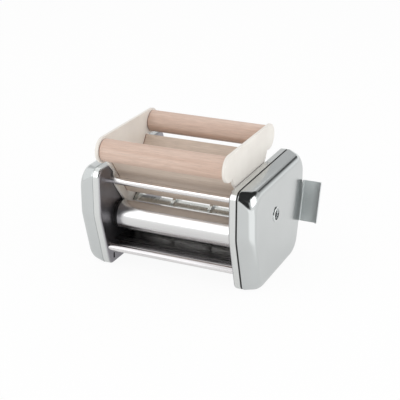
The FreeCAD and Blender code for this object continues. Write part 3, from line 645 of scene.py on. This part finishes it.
# %% Dress the solids
for part in frame["record"]["subparts"]:
    node = part["node"]
    slot = "board" if node.endswith("_board") else part["material_slot"]
    slot = "cover_chrome" if node == "left_joint_strip" else slot
    mesh = frame["nodes"][node].data
    mesh.materials.clear()
    mesh.materials.append(finishes[slot])

# %% [markdown]
# ## Floor and background
# The machine stands on a wide white floor. In the picture the floor should be nearly white and still
# show the soft shadow under the cases, so the camera sees mostly plain white light and a small share
# of the lit floor. Metal mirrors about half of each. A white card lies on the floor at the front
# right, where only metal sees it: it draws the bright line down the rounded front edge of the
# crank-side cover.

# %% A region with soft edges, 1 inside and 0 outside
def region(tree, place, edges):
    """Each edge is an axis, the place where the region starts and the place where it is full."""
    inside = 1.0
    for axis, start, full in edges:
        edge = add(tree, "ShaderNodeMapRange", {"Value": place.outputs[axis],
                                                "From Min": start, "From Max": full},
                   interpolation_type="SMOOTHSTEP")
        inside = add(tree, "ShaderNodeMath", {0: inside, 1: edge.outputs[0]},
                     operation="MULTIPLY").outputs[0]
    return inside


CARD = [("X", 0.14, 0.22), ("Y", 0.0, -0.06)]
print("the card starts", CARD[0][1], "m to the right of the middle")

# %% Light that the camera and the metal see on the floor
CARD_STRENGTH = 1.7
SHARE_FOR_CAMERA = 0.93
SHARE_FOR_METAL = 0.52


def floor_glow(tree):
    """Plain white light, brighter on the card for metal, and the share of it in what is seen."""
    ray = add(tree, "ShaderNodeLightPath")
    place = add(tree, "ShaderNodeTexCoord")
    axes = add(tree, "ShaderNodeSeparateXYZ", {0: place.outputs["Object"]})
    card = add(tree, "ShaderNodeMath", {0: region(tree, axes, CARD),
                                        1: ray.outputs["Is Glossy Ray"]}, operation="MULTIPLY")
    strength = add(tree, "ShaderNodeMapRange", {"Value": card.outputs[0], "To Min": 1.0,
                                                "To Max": CARD_STRENGTH})
    glow = add(tree, "ShaderNodeEmission", {"Color": WHITE, "Strength": strength.outputs[0]})
    seen = add(tree, "ShaderNodeMath", {0: ray.outputs["Is Camera Ray"], 1: SHARE_FOR_CAMERA},
               operation="MULTIPLY")
    mirrored = add(tree, "ShaderNodeMath", {0: ray.outputs["Is Glossy Ray"], 1: SHARE_FOR_METAL},
                   operation="MULTIPLY")
    share = add(tree, "ShaderNodeMath", {0: seen.outputs[0], 1: mirrored.outputs[0]},
                operation="ADD")
    return glow.outputs[0], share.outputs[0]


print("share of plain light, for the camera", SHARE_FOR_CAMERA, "and for metal", SHARE_FOR_METAL)

# %% White floor paint
MOTTLE_MM = (300, 300, 300)


def white_floor():
    made = bpy.data.materials.new("white_studio_floor")
    made.use_nodes = True
    tree = made.node_tree
    tree.nodes.clear()
    mottle = add(tree, "ShaderNodeTexNoise", {"Vector": pattern_space(tree, MOTTLE_MM),
                                              "Scale": 1.0, "Detail": 2.0})
    value = add(tree, "ShaderNodeMapRange", {**NOISE, "Value": mottle.outputs[0],
                                             "To Min": 0.995, "To Max": 1.0})
    paint = add(tree, "ShaderNodeHueSaturation", {"Color": linear("#f4f4f3"),
                                                  "Value": value.outputs[0]})
    matt = add(tree, "ShaderNodeBsdfDiffuse", {"Color": paint.outputs[0]})
    glow, share = floor_glow(tree)
    both = add(tree, "ShaderNodeMixShader", {0: share, 1: matt.outputs[0], 2: glow})
    add(tree, "ShaderNodeOutputMaterial", {"Surface": both.outputs[0]})
    return made


floor_finish = white_floor()
print("the floor paint has", len(floor_finish.node_tree.nodes), "nodes")

# %% Floor plane, just under the feet so that it doesn't share a plane with them
FLOOR_REACH = 3.0
FLOOR_GAP = 0.0002
corners = [(-FLOOR_REACH, -FLOOR_REACH, 0), (FLOOR_REACH, -FLOOR_REACH, 0),
           (FLOOR_REACH, FLOOR_REACH, 0), (-FLOOR_REACH, FLOOR_REACH, 0)]
floor_mesh = bpy.data.meshes.new("studio_floor")
floor_mesh.from_pydata(corners, [], [(0, 1, 2, 3)])
floor_mesh.materials.append(floor_finish)
floor = bpy.data.objects.new("studio_floor", floor_mesh)
bpy.context.scene.collection.objects.link(floor)
floor.location.z = solid_box[0].z - FLOOR_GAP
print("the floor reaches", FLOOR_REACH, "m each way")

# %% [markdown]
# ## The room that the metal mirrors
# Polished metal has no colour of its own: it shows the room. The camera sees plain white. The metal
# sees a pale room with four darker places. The dark overhead draws the black corner on the crank-side
# cover. The dark in front, where the photographer stands, shades the slide bracket and the inner face
# of the left plate. The wall behind is grey and shades the tops of the cases, and its narrow ceiling
# edge draws the dark line along the top edge of the crank-side cover. A direction in the room is a
# unit vector: Z 1 is straight up, Y -1 straight in front and X 1 to the right.

# %% Dark places of the room
DARK_PLACES = {
    "overhead": [("Z", 0.35, 0.6), ("X", -0.45, -0.2)],
    "in_front": [("Y", -0.35, -0.7), ("X", -0.3, -0.05), ("Z", -0.15, 0.1)],
    "back_wall": [("Y", 0.4, 0.6), ("Z", 0.12, 0.3)],
    "ceiling_edge": [("X", 0.14, 0.20), ("X", 0.40, 0.30)],
}
BACK_WALL_DARKNESS = 0.42
CEILING_EDGE_DARKNESS = 0.95
world = bpy.data.worlds.new("studio_room")
world.use_nodes = True
room = world.node_tree
room.nodes.clear()
direction = add(room, "ShaderNodeTexCoord")
axes = add(room, "ShaderNodeSeparateXYZ", {0: direction.outputs["Generated"]})
places = {name: region(room, axes, edges) for name, edges in DARK_PLACES.items()}
wall_darkness = add(room, "ShaderNodeMapRange", {"Value": places["ceiling_edge"],
                                                 "To Min": BACK_WALL_DARKNESS,
                                                 "To Max": CEILING_EDGE_DARKNESS})
back_wall = add(room, "ShaderNodeMath", {0: places["back_wall"], 1: wall_darkness.outputs[0]},
                operation="MULTIPLY")
dark = places["overhead"]
for place in (places["in_front"], back_wall.outputs[0]):
    dark = add(room, "ShaderNodeMath", {0: dark, 1: place}, operation="MAXIMUM").outputs[0]
print("dark places of the room:", sorted(places))

# %% [markdown]
# The room is three lights in one, and the kind of ray chooses between them: plain white for the
# camera, the room with its dark places for metal, and an even fill for wood, plastic and floor.

# %% Room light
ROOM_STRENGTH = 1.2
FILL_STRENGTH = 0.76
tone = add(room, "ShaderNodeMix", {"Factor": dark, "A": linear("#f4f5f5"), "B": linear("#262727")},
           data_type="RGBA")
mirrored = add(room, "ShaderNodeBackground", {"Color": tone.outputs["Result"],
                                              "Strength": ROOM_STRENGTH})
seen = add(room, "ShaderNodeBackground", {"Color": WHITE, "Strength": 1.0})
fill = add(room, "ShaderNodeBackground", {"Color": WHITE, "Strength": FILL_STRENGTH})
ray = add(room, "ShaderNodeLightPath")
lit = add(room, "ShaderNodeMixShader", {0: ray.outputs["Is Glossy Ray"], 1: fill.outputs[0],
                                        2: mirrored.outputs[0]})
both = add(room, "ShaderNodeMixShader", {0: ray.outputs["Is Camera Ray"], 1: lit.outputs[0],
                                         2: seen.outputs[0]})
add(room, "ShaderNodeOutputWorld", {"Surface": both.outputs[0]})
bpy.context.scene.world = world
print("room strength", ROOM_STRENGTH, "and fill", FILL_STRENGTH)

# %% [markdown]
# ## Soft boxes
# A large soft box at the front left is the main light: it draws the bright lines along the rods and
# the smooth roller, and lights the hopper. A smaller one on the right draws the white spot beside the
# black corner of the crank-side cover, and lights the end panels. A weak one behind brightens the
# tops of the cases a little.

# %% Soft boxes
AIM = Vector((0.0, 0.0, 0.07))


def soft_box(name, place, width, height, watts):
    light = bpy.data.lights.new(name, "AREA")
    light.shape = "RECTANGLE"
    light.size = width
    light.size_y = height
    light.energy = watts
    made = bpy.data.objects.new(name, light)
    bpy.context.scene.collection.objects.link(made)
    made.location = place
    made.rotation_euler = (AIM - Vector(place)).to_track_quat("-Z", "Y").to_euler()
    made.visible_camera = False
    print(name, "at", place, "with", watts, "watts")


soft_box("soft_box_front_left", (-0.55, -0.95, 0.75), 1.1, 1.3, 4.5)
soft_box("soft_box_right", (1.15, 0.0, 0.60), 0.8, 0.7, 3.8)
soft_box("soft_box_behind", (-0.3, 0.9, 1.0), 1.0, 0.6, 1)

# %% [markdown]
# ## Camera
# The camera stands where the photographer stood: above the table, to the right of the front.
# Its place was worked out from the straight edges of the cases and rails in the photograph. It looks
# down by one angle and is turned to the left by another.

# %% Camera
CAMERA_PLACE = (0.44855, -0.98722, 0.50559)
LOOKS_DOWN = math.radians(22.0614)
TURNED_LEFT = math.radians(24.2301)
LENS_MM = 93.13
SENSOR_MM = 36.0
camera_data = bpy.data.cameras.new("photograph_camera")
camera_data.lens = LENS_MM
camera_data.sensor_width = SENSOR_MM
camera_data.clip_start = 0.05
camera_data.clip_end = 20.0
camera = bpy.data.objects.new("photograph_camera", camera_data)
bpy.context.scene.collection.objects.link(camera)
turn = Euler((math.pi / 2 - LOOKS_DOWN, 0.0, TURNED_LEFT)).to_matrix().to_4x4()
camera.matrix_world = Matrix.Translation(CAMERA_PLACE) @ turn
bpy.context.scene.camera = camera
bpy.context.scene.view_settings.view_transform = "Standard"
print("camera is", round(camera.location.length, 3), "m from the origin")
